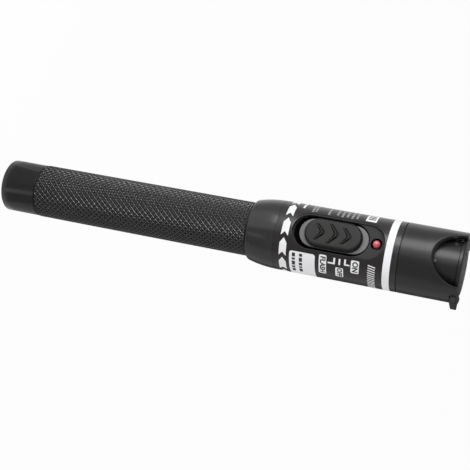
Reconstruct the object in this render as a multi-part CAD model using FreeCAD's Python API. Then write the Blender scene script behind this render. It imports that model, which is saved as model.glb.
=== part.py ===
import FreeCAD, Part
import math
import os

# Visual fault locator: a pen-shaped red-light source for optical fibres.
# Millimetres. The origin is the centre of the tail cap's end face, +Z runs along the pen to the
# light port, the slide switch faces -Y, the lid hinges at -X and its thumb tab is at +X.

# ---- running and seating clearances
fit_gap = 0.08          # threads and turned fits
pin_gap = 0.05          # lid on its hinge pin
moving_gap = 0.3        # between bodies that move past each other
bond_gap = 0.05         # small parts that are soldered or glued in

# ---- cells (size AA) and what contacts them
cell_radius = 7.25
cell_length = 50.5
cell_button_radius = 2.75
cell_button_height = 1.3
cell_edge_radius = 0.6
cell_gap = 0.2
contact_thickness = 0.5
contact_radius_gap = 0.3
contact_boss_height = 0.35
spring_length = 3.5
spring_wire_radius = 0.35
spring_radius = 4.5
spring_turns = 3.0
stud_head_height = 0.2
stud_head_radius = 2.5
stud_shank_radius = 0.8
stud_shank_length = 1.8

# ---- tail cap
cap_length = 13.3
cap_floor = 2.0
cap_wall = 0.65
cap_edge_radius = 0.6
cap_mouth_chamfer = 0.15
cap_relief_depth = 1.8
cap_seam = 0.2

# ---- battery tube
thread_wall = 0.95
land_step = 0.22
land_length = 3.1
land_relief = 0.2
spigot_start_gap = 0.7
ring_groove_wall = 0.5
ring_groove_width = 1.4
ring_groove_inset = 1.1
ring_squeeze_gap = 0.03
knurl_height = 0.15
knurl_margin = 0.4
front_spigot_length = 9.0
front_spigot_relief = 0.6

# ---- head housing
seat_depth = 12.0       # from the tube's front shoulder to the contact board's seat
seat_ledge = 1.15
shoulder_rise = 2.5
shoulder_length = 10.7
shoulder_edge = 1.25    # radius of the round at the shoulder's small end
label_front_margin = 3.0  # from the pocket's front end to the end of the label
label_thickness = 0.12
label_end_gap = 0.1
rim_length = 2.1

# ---- switch pocket, slider and indicator
pocket_start = 5.8      # from the start of the label
pocket_width = 11.7
pocket_depth = 1.6
well_inset = 1.3        # the deeper well, from the pocket's rear end
well_front_floor = 5.4  # pocket floor left in front of the well, where the indicator sits
well_width = 10.9
well_depth = 1.0
plate_length = 23.8
plate_width = 10.7
plate_thickness = 0.6
plate_front_gap = 0.3
plate_rear_gap = 0.9
knob_length = 19.9
knob_width = 10.3
knob_rise = 0.05        # above the head's crown
knob_edge_radius = 0.7
knob_seat_gap = 0.1
ridge_height = 0.35
ridge_width = 1.2
ridge_pitch = 4.75
ridge_half_spans = (2.8, 3.45, 2.8)
ridge_sweeps = (2.2, 2.7, 2.2)
switch_travel = 2.0     # each way from the middle
stem_width = 2.6
stem_length = 3.6
indicator_radius = 1.5
indicator_hole_gap = 0.3
indicator_inset = 3.0   # from the pocket's front end to the indicator's centre
indicator_rise = 0.5    # dome above the pocket floor
indicator_flange_height = 0.8
lead_width = 0.5
lead_pitch = 1.27
window_margin = 0.35

# ---- printed fields on the label
print_thickness = 0.05
band_width = 2.4
arrow_count = 12
arrow_width = 2.8
arrow_length = 5.2
arrow_point = 1.5
arrow_start = 1.9       # from the start of the label
# name: (start and end along the label, start and end angle from the switch towards the tab)
printed_fields = {
    "rating": (6.1, 15.1, 43.0, 118.0),
    "flash": (16.8, 19.5, 41.0, 84.0),
    "off": (22.2, 25.1, 53.0, 76.0),
    "on": (27.8, 30.4, 41.0, 70.0),
    "small": (28.7, 33.0, -59.0, -46.0),
}

# ---- electronics
board_rear_gap = 0.1
board_thickness = 1.0
board_top = 3.2         # from the axis towards the switch
board_edge_gap = 0.3
board_front_margin = 2.0
contact_board_thickness = 1.2
cradle_gap = 0.1
cradle_wall = 1.3
cradle_length = 29.3
cradle_web = 3.0
screw_radius = 0.8
screw_head_radius = 1.5
screw_head_height = 0.8
screw_length = 4.0
screw_spread = 5.2
switch_body_width = 4.4
switch_body_length = 8.6
switch_body_height = 3.7
lever_width = 1.4
lever_length = 1.4
lever_height = 1.6
chip_size = (4.0, 1.5, 5.0)
chip_from_rear = 19.0
inductor_radius = 2.4
inductor_height = 2.6
inductor_rim = 0.65
inductor_core_radius = 2.0
inductor_from_rear = 12.0
capacitor_size = (1.8, 1.4, 3.2)
capacitor_spread = 5.6
capacitor_from_rear = 6.5

# ---- nose, laser and port
spigot_length = 5.4
flange_thickness = 0.3
flange_inset = 0.6
nose_radius = 8.9
nose_length = 17.7      # in front of the flange
barrel_radius = 5.0
barrel_length = 15.0
barrel_rear_overhang = 0.6
barrel_front_wall = 1.0
diode_flange_radius = 2.8
diode_flange_thickness = 1.2
diode_inset = 1.0
diode_can_radius = 2.35
diode_can_length = 2.8
diode_lead_radius = 0.22
diode_lead_length = 2.5
diode_lead_circle = 1.27
lens_bore_radius = 3.0
lens_bore_length = 9.0
lens_setback = 2.0      # from the lens bore's rear face
lens_thickness = 2.5
lens_sphere_radius = 6.0
lens_ring_thickness = 1.5
lens_ring_bore = 1.8
aperture_radius = 1.6
bush_radius = 3.0
bush_flange_radius = 4.2
bush_flange_thickness = 1.6
bush_proud = 0.4
bush_floor = 0.5
bush_light_hole = 1.0
bush_mouth_radius = 1.45
bush_mouth_length = 1.3
bush_mouth_chamfer = 0.5
ferrule_radius = 1.25   # bore of the alignment sleeve, for 2.5 mm ferrules
sleeve_wall = 0.35

# ---- front shroud
nose_front_gap = 0.6    # from the nose's end to the lid
shroud_seat_length = 7.6
shroud_wall = 2.0
scallop_half_width = 8.5
scallop_depth = 9.9
scallop_edge_radius = 0.7
tab_notch_gap = 0.3
knuckle_slot_gap = 0.3
ear_radius = 1.1

# ---- lid
lid_radius_gap = 0.4
lid_thickness = 1.8
lid_groove_radius = 5.0
lid_groove_width = 0.4
lid_groove_depth = 0.25
lid_edge_radius = 0.2
tab_half_width = 4.0
tab_reach = 1.5         # past the shroud's outside
tab_drop = 0.2          # below the lid's inner face
tab_root = 1.2          # how far the tab and the hinge arm run into the disc
knuckle_radius = 1.0
knuckle_half_width = 2.5
hinge_inset = 1.4       # pin axis inside the shroud's outer radius
hinge_drop = 1.1        # pin axis below the front face
hinge_pin_radius = 0.4
hinge_pin_half_length = 4.6
seal_radius = 4.6
seal_thickness = 0.9
seal_proud = 0.1

# ---- small steel pieces on the nose
dowel_radius = 0.45
dowel_proud = 0.5
dowel_depth = 1.5
dowel_angle = 10.0
dowel_from_scallop = 1.2
clip_width = 1.4
clip_length = 1.1
clip_height = 0.6
clip_angle = 44.0
clip_front_inset = 0.3

# ---- radii worked out from the above
tube_bore = cell_radius + cell_gap
thread_radius = tube_bore + thread_wall
land_radius = thread_radius + land_step
cap_radius = land_radius + fit_gap + cap_wall
tube_radius = cap_radius + knurl_height
head_radius = tube_radius + shoulder_rise
head_bore = tube_bore + seat_ledge
joint_radius = head_bore - fit_gap
pocket_floor = head_radius - pocket_depth
well_floor = pocket_floor - well_depth
knob_top = head_radius + knob_rise
shroud_bore = head_radius - shroud_wall
lid_radius = shroud_bore - lid_radius_gap

# ---- stations along the pen
contact_z = cap_floor
spring_z = contact_z + contact_thickness
cells_z = spring_z + spring_length
cells_end = cells_z + 2 * cell_length
seat_z = cells_end + stud_head_height
tube_back = cap_floor + cap_relief_depth + spigot_start_gap
tube_z = cap_length + cap_seam
tube_end = seat_z - seat_depth
label_z = tube_end + shoulder_length
pocket_z = label_z + pocket_start
well_z = pocket_z + well_inset
plate_z = well_z + plate_rear_gap
plate_end = plate_z + plate_length
well_end = plate_end + plate_front_gap
pocket_end = well_end + well_front_floor
label_end = pocket_end + label_front_margin
head_end = label_end + rim_length
flange_end = head_end + flange_thickness
nose_end = flange_end + nose_length
lid_z = nose_end + nose_front_gap
front_z = lid_z + lid_thickness
switch_z = plate_z + plate_length / 2
indicator_z = pocket_end - indicator_inset
contact_board_end = seat_z + contact_board_thickness
cradle_z = contact_board_end + board_rear_gap
board_end = indicator_z + board_front_margin
board_length = board_end - cradle_z
barrel_z = head_end - spigot_length - barrel_rear_overhang
barrel_end = barrel_z + barrel_length
bush_end = nose_end + bush_proud
hinge_x = -(head_radius - hinge_inset)
hinge_z = front_z - hinge_drop


def vec(x, y, z):
    return FreeCAD.Vector(x, y, z)


def rod(radius, z0, z1, x=0.0, y=0.0):
    """A cylinder along +Z."""
    return Part.makeCylinder(radius, z1 - z0, vec(x, y, z0), vec(0, 0, 1))


def ring(outer, inner, z0, z1):
    return rod(outer, z0, z1).cut(rod(inner, z0, z1))


def rod_y(radius, y0, y1, x, z):
    """A cylinder along +Y."""
    return Part.makeCylinder(radius, y1 - y0, vec(x, y0, z), vec(0, 1, 0))


def block(x0, x1, y0, y1, z0, z1):
    return Part.makeBox(x1 - x0, y1 - y0, z1 - z0, vec(x0, y0, z0))


def stadium(z0, z1, width, y0, y1):
    """A round-ended slab, long along Z, between two heights along Y."""
    half = width / 2
    low = z0 + half
    high = z1 - half
    rear = Part.Arc(vec(half, y0, low), vec(0, y0, z0), vec(-half, y0, low)).toShape()
    left = Part.makeLine(vec(-half, y0, low), vec(-half, y0, high))
    front = Part.Arc(vec(-half, y0, high), vec(0, y0, z1), vec(half, y0, high)).toShape()
    right = Part.makeLine(vec(half, y0, high), vec(half, y0, low))
    face = Part.Face(Part.Wire([rear, left, front, right]))
    return face.extrude(vec(0, y1 - y0, 0))


def around(shape, angle):
    """Turns a shape made on the switch side by an angle towards the tab side."""
    turned_shape = shape.copy()
    turned_shape.rotate(vec(0, 0, 0), vec(0, 0, 1), angle)
    return turned_shape


def edges_at(shape, axis, level):
    """The edges that lie wholly in one plane across an axis."""
    low = axis + "Min"
    high = axis + "Max"
    tolerance = 1e-4
    return [e for e in shape.Edges
            if abs(getattr(e.BoundBox, low) - level) < tolerance
            and abs(getattr(e.BoundBox, high) - level) < tolerance]


def rounded(shape, edges, radius):
    return shape.makeFillet(radius, edges)


# ---- tail cap and its contact

def tail_cap():
    body = rod(cap_radius, 0, cap_length)
    body = rounded(body, edges_at(body, "Z", 0), cap_edge_radius)
    body = body.makeChamfer(cap_mouth_chamfer, edges_at(body, "Z", cap_length))
    relief_top = cap_floor + cap_relief_depth
    land_start = tube_z - land_length - land_relief
    body = body.cut(rod(tube_bore + moving_gap, cap_floor, relief_top))
    body = body.cut(rod(thread_radius + fit_gap, relief_top, land_start))
    return body.cut(rod(land_radius + fit_gap, land_start, cap_length))


def tail_contact():
    plate = rod(tube_bore + moving_gap - contact_radius_gap, contact_z, spring_z)
    boss = rod(spring_radius - spring_wire_radius - cell_gap, spring_z, spring_z + contact_boss_height)
    return plate.fuse(boss)


def tail_spring():
    rise = spring_length - 2 * spring_wire_radius
    start = spring_z + spring_wire_radius
    helix = Part.makeHelix(rise / spring_turns, rise, spring_radius)
    helix.translate(vec(0, 0, start))
    circle = Part.Circle(vec(spring_radius, 0, start), vec(0, 1, 0), spring_wire_radius)
    profile = Part.Wire([circle.toShape()])
    return Part.Wire(helix.Edges).makePipeShell([profile], True, True)


# ---- battery tube and cells

def ring_groove():
    """Where the O-ring sits: its rear and front edge along the pen."""
    front = tube_z - ring_groove_inset
    return front - ring_groove_width, front


def battery_tube():
    groove_rear, groove_front = ring_groove()
    groove_radius = tube_bore + ring_groove_wall
    body = rod(thread_radius, tube_back, tube_z)
    body = body.fuse(rod(land_radius, tube_z - land_length, tube_z))
    body = body.cut(ring(land_radius, groove_radius, groove_rear, groove_front))
    body = body.fuse(rod(cap_radius, tube_z, tube_z + knurl_margin))
    body = body.fuse(rod(tube_radius, tube_z + knurl_margin, tube_end - knurl_margin))
    body = body.fuse(rod(cap_radius, tube_end - knurl_margin, tube_end))
    body = body.fuse(rod(joint_radius, tube_end, tube_end + front_spigot_length))
    return body.cut(rod(tube_bore, tube_back, tube_end + front_spigot_length))


def tube_oring():
    groove_rear, groove_front = ring_groove()
    floor = tube_bore + ring_groove_wall
    section = (land_radius + fit_gap - ring_squeeze_gap - floor) / 2
    middle = (groove_rear + groove_front) / 2
    return Part.makeTorus(floor + section, section, vec(0, 0, middle), vec(0, 0, 1))


def cell(z):
    shoulder = z + cell_length - cell_button_height
    can = rod(cell_radius, z, shoulder)
    can = rounded(can, edges_at(can, "Z", z) + edges_at(can, "Z", shoulder), cell_edge_radius)
    return can.fuse(rod(cell_button_radius, shoulder, z + cell_length))


# ---- head housing, label and print

def shoulder_solid():
    """The rounded shoulder: a small edge round that runs into a long arc up to the head's side."""
    long_radius = ((shoulder_length ** 2 + shoulder_rise ** 2 - 2 * shoulder_length * shoulder_edge)
                   / (2 * (shoulder_rise - shoulder_edge)))
    long_centre = head_radius - long_radius
    edge_z = tube_end + shoulder_edge
    meeting = math.atan2(label_z - edge_z, tube_radius - long_centre)

    def on_arc(centre, z, radius, turn):
        return vec(centre + radius * math.cos(turn), 0, z - radius * math.sin(turn))

    low = vec(tube_radius, 0, tube_end)
    joined = on_arc(long_centre, label_z, long_radius, meeting)
    high = vec(head_radius, 0, label_z)
    edge_middle = on_arc(tube_radius, edge_z, shoulder_edge, (math.pi / 2 + meeting) / 2)
    long_middle = on_arc(long_centre, label_z, long_radius, meeting / 2)
    inner_low = vec(0, 0, tube_end)
    inner_high = vec(0, 0, label_z)
    wire = Part.Wire([Part.makeLine(inner_low, low), Part.Arc(low, edge_middle, joined).toShape(),
                      Part.Arc(joined, long_middle, high).toShape(),
                      Part.makeLine(high, inner_high), Part.makeLine(inner_high, inner_low)])
    return Part.Face(wire).revolve(vec(0, 0, 0), vec(0, 0, 1), 360)


def head_housing():
    body = shoulder_solid()
    body = body.fuse(rod(head_radius - label_thickness, label_z, label_end))
    body = body.fuse(rod(head_radius, label_end, head_end))
    joint_end = tube_end + front_spigot_length + front_spigot_relief
    body = body.cut(rod(head_bore, tube_end, joint_end))
    body = body.cut(rod(tube_bore, joint_end, seat_z))
    body = body.cut(rod(head_bore, seat_z, head_end))
    outside = -(head_radius + 1)
    body = body.cut(stadium(pocket_z, pocket_end, pocket_width, outside, -pocket_floor))
    body = body.cut(stadium(well_z, well_end, well_width, outside, -well_floor))
    body = body.cut(stem_slot(outside, 0))
    hole = indicator_radius + indicator_hole_gap
    return body.cut(rod_y(hole, outside, 0, 0, indicator_z))


def stem_slot(y0, y1):
    """The opening that the knob's stem slides in."""
    half_length = stem_length / 2 + switch_travel + moving_gap
    half_width = stem_width / 2 + moving_gap
    return block(-half_width, half_width, y0, y1, switch_z - half_length, switch_z + half_length)


def wrap_label():
    sleeve = ring(head_radius, head_radius - label_thickness, label_z + label_end_gap, label_end)
    window = stadium(pocket_z - window_margin, pocket_end + window_margin,
                     pocket_width + 2 * window_margin, -(head_radius + 1), 0)
    return sleeve.cut(window)


def print_patch(z0, z1, angle0, angle1):
    """A thin field on the label, between two stations and two angles from the switch side."""
    corners = [(head_radius, z0), (head_radius + print_thickness, z0),
               (head_radius + print_thickness, z1), (head_radius, z1)]
    points = [vec(0, -r, z) for r, z in corners]
    face = Part.Face(Part.makePolygon(points + points[:1]))
    start = around(face, angle0)
    return start.revolve(vec(0, 0, 0), vec(0, 0, 1), angle1 - angle0)


def arrow_patch(angle):
    """One arrow of the direction strip, pointing round the head away from the tab."""
    half = arrow_width / 2
    middle = label_z + arrow_start + half
    tip = -arrow_length / 2
    tail = arrow_length / 2
    outline = [(tip, middle), (tip + arrow_point, middle + half), (tail, middle + half),
               (tail - arrow_point, middle), (tail, middle - half), (tip + arrow_point, middle - half)]
    points = [vec(x, 0, z) for x, z in outline]
    face = Part.Face(Part.makePolygon(points + points[:1]))
    prism = face.extrude(vec(0, -(head_radius + 1), 0))
    skin = ring(head_radius + print_thickness, head_radius, middle - arrow_width, middle + arrow_width)
    return around(prism.common(skin), angle)


def label_print():
    patches = [ring(head_radius + print_thickness, head_radius, label_end - band_width, label_end)]
    for z0, z1, angle0, angle1 in printed_fields.values():
        patches.append(print_patch(label_z + z0, label_z + z1, angle0, angle1))
    for index in range(arrow_count):
        patches.append(arrow_patch(360 / arrow_count * (index + 0.5)))
    return Part.makeCompound(patches)


# ---- slider

def slider_plate():
    plate = stadium(plate_z, plate_end, plate_width, -(well_floor + plate_thickness), -well_floor)
    return plate.cut(stem_slot(-(head_radius + 1), 0))


def knob_ridge(z, half_span, sweep):
    """One raised chevron that points to the light port."""
    back = z - ridge_width / 2 - sweep / 2
    front = z + ridge_width / 2 - sweep / 2
    outline = [(0, back + sweep), (half_span, back), (half_span, front), (0, front + sweep),
               (-half_span, front), (-half_span, back)]
    points = [vec(x, -(knob_top - ridge_height), zz) for x, zz in outline]
    face = Part.Face(Part.makePolygon(points + points[:1]))
    return face.extrude(vec(0, -2 * ridge_height, 0))


def slider_knob():
    seat = well_floor + plate_thickness + knob_seat_gap
    z0 = switch_z - knob_length / 2
    z1 = switch_z + knob_length / 2
    body = stadium(z0, z1, knob_width, -knob_top, -seat)
    body = rounded(body, edges_at(body, "Y", -knob_top), knob_edge_radius)
    for index, (half_span, sweep) in enumerate(zip(ridge_half_spans, ridge_sweeps)):
        place = switch_z + ridge_pitch * (index - 1)
        body = body.fuse(knob_ridge(place, half_span, sweep))
    stem_end = board_top + switch_body_height + moving_gap
    body = body.fuse(block(-stem_width / 2, stem_width / 2, -(seat + knob_seat_gap), -stem_end,
                           switch_z - stem_length / 2, switch_z + stem_length / 2))
    return body.cut(lever_block(bond_gap))


def lever_block(gap):
    """The switch's lever, grown by a gap for the socket in the knob's stem."""
    base = board_top + switch_body_height
    half_x = lever_width / 2 + gap
    half_z = lever_length / 2 + gap
    return block(-half_x, half_x, -(base + lever_height + gap), -base,
                 switch_z - half_z, switch_z + half_z)


def switch_lever():
    return lever_block(0)


def slide_switch():
    base = board_top + switch_body_height
    return block(-switch_body_width / 2, switch_body_width / 2, -base, -board_top,
                 switch_z - switch_body_length / 2, switch_z + switch_body_length / 2)


def indicator_led():
    top = pocket_floor + indicator_rise
    base = board_top + indicator_flange_height
    dome_base = top - indicator_radius
    body = rod_y(indicator_radius, -dome_base, -base, 0, indicator_z)
    body = body.fuse(Part.makeSphere(indicator_radius, vec(0, -dome_base, indicator_z)))
    flange = indicator_radius + indicator_hole_gap
    body = body.fuse(rod_y(flange, -(base + indicator_flange_height), -base, 0, indicator_z))
    for side in (-1, 1):
        x = side * lead_pitch
        body = body.fuse(block(x - lead_width / 2, x + lead_width / 2, -base - lead_width, -board_top,
                               indicator_z - lead_width / 2, indicator_z + lead_width / 2))
    return body


# ---- electronics

def contact_board():
    disc = rod(head_bore - cradle_gap, seat_z, contact_board_end)
    return disc.cut(rod(stud_shank_radius + bond_gap, seat_z, contact_board_end))


def contact_stud():
    head = rod(stud_head_radius, cells_end, seat_z)
    return head.fuse(rod(stud_shank_radius, cells_end, cells_end + stud_head_height + stud_shank_length))


def board_underside():
    return -(board_top - board_thickness)


def screw_places():
    """Where the two board screws stand: on the cradle's webs."""
    rear = cradle_z + cradle_web / 2
    front = cradle_z + cradle_length - cradle_web / 2
    return ((-screw_spread, rear), (screw_spread, front))


def module_cradle():
    outer = head_bore - cradle_gap
    end = cradle_z + cradle_length
    below = block(-outer, outer, board_underside(), outer, cradle_z, end)
    body = ring(outer, outer - cradle_wall, cradle_z, end)
    full = rod(outer, cradle_z, end)
    stud_room = rod(stud_head_radius, cradle_z, cradle_z + cradle_web)
    for z in (cradle_z, end - cradle_web):
        body = body.fuse(full.common(block(-outer, outer, -outer, outer, z, z + cradle_web)))
    body = body.common(below).cut(stud_room)
    for x, z in screw_places():
        y0 = board_underside()
        body = body.cut(rod_y(screw_radius + bond_gap, y0, y0 + screw_length, x, z))
    return body


def circuit_board():
    half = math.sqrt((head_bore - cradle_gap) ** 2 - board_top ** 2) - board_edge_gap
    body = block(-half, half, -board_top, board_underside(), cradle_z, board_end)
    for x, z in screw_places():
        body = body.cut(rod_y(screw_radius + bond_gap, -board_top, board_underside(), x, z))
    return body


def board_screws():
    screws = []
    for x, z in screw_places():
        screw = rod_y(screw_head_radius, -(board_top + screw_head_height), -board_top, x, z)
        screws.append(screw.fuse(rod_y(screw_radius, -board_top, screw_length - board_top, x, z)))
    return Part.makeCompound(screws)


def under_board(size, x, z):
    """A chip-shaped piece soldered to the board's lower face."""
    width, height, length = size
    y0 = board_underside()
    return block(x - width / 2, x + width / 2, y0, y0 + height, z - length / 2, z + length / 2)


def driver_chip():
    return under_board(chip_size, 0, cradle_z + chip_from_rear)


def inductor():
    y0 = board_underside()
    z = cradle_z + inductor_from_rear
    bobbin = rod_y(inductor_radius, y0, y0 + inductor_height, 0, z)
    waist_start = y0 + inductor_rim
    waist_end = y0 + inductor_height - inductor_rim
    bobbin = bobbin.cut(rod_y(inductor_radius, waist_start, waist_end, 0, z))
    return bobbin.fuse(rod_y(inductor_core_radius, waist_start, waist_end, 0, z))


def capacitors():
    pieces = [under_board(capacitor_size, side * capacitor_spread / 2, cradle_z + capacitor_from_rear)
              for side in (-1, 1)]
    return Part.makeCompound(pieces)


# ---- nose, laser and port

def nose_holder():
    body = rod(joint_radius, head_end - spigot_length, head_end)
    body = body.fuse(rod(head_radius - flange_inset, head_end, flange_end))
    body = body.fuse(rod(nose_radius, flange_end, nose_end))
    body = rounded(body, edges_at(body, "Z", nose_end), lid_edge_radius)
    body = body.cut(rod(barrel_radius + bond_gap, head_end - spigot_length, barrel_end))
    body = body.cut(rod(bush_radius + bond_gap, barrel_end, nose_end))
    flange_z = bush_end - bush_flange_thickness
    body = body.cut(rod(bush_flange_radius + bond_gap, flange_z, nose_end))
    return body.cut(dowel_solid(bond_gap))


def barrel_lens_bore():
    """The rear and front end of the barrel's wide bore, which holds the lens."""
    front = barrel_end - barrel_front_wall
    return front - lens_bore_length, front


def laser_barrel():
    lens_rear, lens_front = barrel_lens_bore()
    diode_front = barrel_z + diode_inset + diode_flange_thickness
    body = rod(barrel_radius, barrel_z, barrel_end)
    body = body.cut(rod(diode_flange_radius + bond_gap, barrel_z, diode_front))
    body = body.cut(rod(diode_can_radius + bond_gap, diode_front, lens_rear))
    body = body.cut(rod(lens_bore_radius, lens_rear, lens_front))
    return body.cut(rod(aperture_radius, lens_front, barrel_end))


def laser_diode():
    flange_z = barrel_z + diode_inset
    can_z = flange_z + diode_flange_thickness
    body = rod(diode_flange_radius, flange_z, can_z)
    body = body.fuse(rod(diode_can_radius, can_z, can_z + diode_can_length))
    for index in range(3):
        turn = math.radians(120 * index + 90)
        x = diode_lead_circle * math.cos(turn)
        y = diode_lead_circle * math.sin(turn)
        body = body.fuse(rod(diode_lead_radius, flange_z - diode_lead_length, flange_z, x, y))
    return body


def focus_lens():
    z0 = barrel_lens_bore()[0] + lens_setback
    z1 = z0 + lens_thickness
    rim = rod(lens_bore_radius - bond_gap, z0, z1)
    ball = Part.makeSphere(lens_sphere_radius, vec(0, 0, z1 - lens_sphere_radius))
    return rim.common(ball)


def lens_ring():
    z0 = barrel_lens_bore()[0] + lens_setback + lens_thickness
    return ring(lens_bore_radius - bond_gap, lens_ring_bore, z0, z0 + lens_ring_thickness)


def sleeve_span():
    """The alignment sleeve's ends, between the bush's floor and its mouth."""
    return barrel_end + bush_floor, bush_end - bush_mouth_length


def port_bush():
    rear, front = sleeve_span()
    body = rod(bush_radius, barrel_end, bush_end)
    body = body.fuse(rod(bush_flange_radius, bush_end - bush_flange_thickness, bush_end))
    body = body.cut(rod(bush_light_hole, barrel_end, rear))
    body = body.cut(rod(ferrule_radius + sleeve_wall + bond_gap, rear, front))
    body = body.cut(rod(bush_mouth_radius, front, bush_end))
    cone = Part.makeCone(bush_mouth_radius, bush_mouth_radius + bush_mouth_chamfer, bush_mouth_chamfer,
                         vec(0, 0, bush_end - bush_mouth_chamfer), vec(0, 0, 1))
    return body.cut(cone)


def ceramic_sleeve():
    rear, front = sleeve_span()
    return ring(ferrule_radius + sleeve_wall, ferrule_radius, rear, front)


# ---- front shroud

def scallop_cutter():
    """The two thumb notches, cut straight through along Y as one half-ellipse."""
    if scallop_half_width > scallop_depth:
        oval = Part.Ellipse(vec(scallop_half_width, 0, 0), vec(0, scallop_depth, 0), vec(0, 0, 0))
    else:
        oval = Part.Ellipse(vec(0, scallop_depth, 0), vec(-scallop_half_width, 0, 0), vec(0, 0, 0))
    face = Part.Face(Part.Wire([oval.toShape()]))
    prism = face.extrude(vec(0, 0, 4 * head_radius))
    prism.rotate(vec(0, 0, 0), vec(1, 0, 0), 90)
    prism.translate(vec(0, 2 * head_radius, front_z))
    return prism


def ear_corner():
    """What rounds the outer front corner of the two hinge ears."""
    x = -(head_radius - ear_radius)
    z = front_z - ear_radius
    reach = hinge_pin_half_length + 1
    corner = block(-(head_radius + 1), x, -reach, reach, z, front_z + 1)
    return corner.cut(rod_y(ear_radius, -reach, reach, x, z))


def front_shroud():
    seat_end = flange_end + shroud_seat_length
    body = rod(head_radius, flange_end, front_z)
    body = body.cut(rod(nose_radius, flange_end, seat_end))
    body = body.cut(rod(shroud_bore, seat_end, front_z))
    body = body.cut(scallop_cutter())
    half = tab_half_width + tab_notch_gap
    floor = lid_z - tab_drop - tab_notch_gap
    body = body.cut(block(0, head_radius + 1, -half, half, floor, front_z + 1))
    half = knuckle_half_width + knuckle_slot_gap
    floor = hinge_z - knuckle_radius - knuckle_slot_gap
    body = body.cut(block(-(head_radius + 1), 0, -half, half, floor, front_z + 1))
    body = body.cut(ear_corner())
    return body.cut(rod_y(hinge_pin_radius, -hinge_pin_half_length, hinge_pin_half_length,
                          hinge_x, hinge_z))


def hinge_pin():
    return rod_y(hinge_pin_radius, -hinge_pin_half_length, hinge_pin_half_length, hinge_x, hinge_z)


# ---- lid

def seal_recess():
    return lid_z - seal_proud + seal_thickness


def lid():
    disc = rod(lid_radius, lid_z, front_z)
    disc = rounded(disc, edges_at(disc, "Z", front_z), lid_edge_radius)
    groove_outer = lid_groove_radius + lid_groove_width / 2
    groove_inner = lid_groove_radius - lid_groove_width / 2
    disc = disc.cut(ring(groove_outer, groove_inner, front_z - lid_groove_depth, front_z))
    tab = block(lid_radius - tab_root, head_radius + tab_reach, -tab_half_width, tab_half_width,
                lid_z - tab_drop, front_z)
    body = disc.fuse(tab)
    knuckle = rod_y(knuckle_radius, -knuckle_half_width, knuckle_half_width, hinge_x, hinge_z)
    arm = block(hinge_x, tab_root - lid_radius, -knuckle_half_width, knuckle_half_width,
                lid_z, hinge_z + knuckle_radius)
    body = body.fuse(knuckle).fuse(arm)
    body = body.cut(rod_y(hinge_pin_radius + pin_gap, -knuckle_half_width, knuckle_half_width,
                          hinge_x, hinge_z))
    return body.cut(rod(seal_radius + bond_gap, lid_z, seal_recess()))


def lid_seal():
    return rod(seal_radius, lid_z - seal_proud, seal_recess())


# ---- small steel pieces

def dowel_solid(gap):
    """The dowel that keeps the nose from turning, seen at the back of a thumb notch."""
    z = front_z - scallop_depth + dowel_from_scallop
    inner = -(nose_radius - dowel_depth)
    outer = -(nose_radius + dowel_proud)
    return around(rod_y(dowel_radius + gap, outer, inner, 0, z), dowel_angle)


def nose_dowel():
    return dowel_solid(0)


def catch_clips():
    """The two spring clips on the nose that hold the lid shut."""
    z1 = nose_end - clip_front_inset
    clip = block(-clip_width / 2, clip_width / 2, -(nose_radius + clip_height), 0,
                 z1 - clip_length, z1)
    clip = clip.cut(rod(nose_radius, z1 - clip_length, z1))
    near = around(clip, -clip_angle)
    far = around(clip, 180 + clip_angle)
    return Part.makeCompound([near, far])


PARTS = {
    "tail_cap": tail_cap,
    "tail_contact": tail_contact,
    "tail_spring": tail_spring,
    "battery_tube": battery_tube,
    "tube_oring": tube_oring,
    "cell_rear": lambda: cell(cells_z),
    "cell_front": lambda: cell(cells_z + cell_length),
    "head_housing": head_housing,
    "wrap_label": wrap_label,
    "label_print": label_print,
    "slider_plate": slider_plate,
    "slider_knob": slider_knob,
    "switch_lever": switch_lever,
    "slide_switch": slide_switch,
    "indicator_led": indicator_led,
    "contact_board": contact_board,
    "contact_stud": contact_stud,
    "module_cradle": module_cradle,
    "circuit_board": circuit_board,
    "board_screws": board_screws,
    "driver_chip": driver_chip,
    "inductor": inductor,
    "capacitors": capacitors,
    "nose_holder": nose_holder,
    "laser_barrel": laser_barrel,
    "laser_diode": laser_diode,
    "focus_lens": focus_lens,
    "lens_ring": lens_ring,
    "port_bush": port_bush,
    "ceramic_sleeve": ceramic_sleeve,
    "front_shroud": front_shroud,
    "hinge_pin": hinge_pin,
    "lid": lid,
    "lid_seal": lid_seal,
    "nose_dowel": nose_dowel,
    "catch_clips": catch_clips,
}


def main():
    os.makedirs("parts", exist_ok=True)
    for name, make in PARTS.items():
        shape = make()
        shape.exportStep("parts/" + name + ".step")
        print(name, len(shape.Solids), round(shape.Volume, 1), shape.isValid())


main()
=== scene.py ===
import math

import bmesh
import bpy
from mathutils import Matrix, Vector


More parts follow.
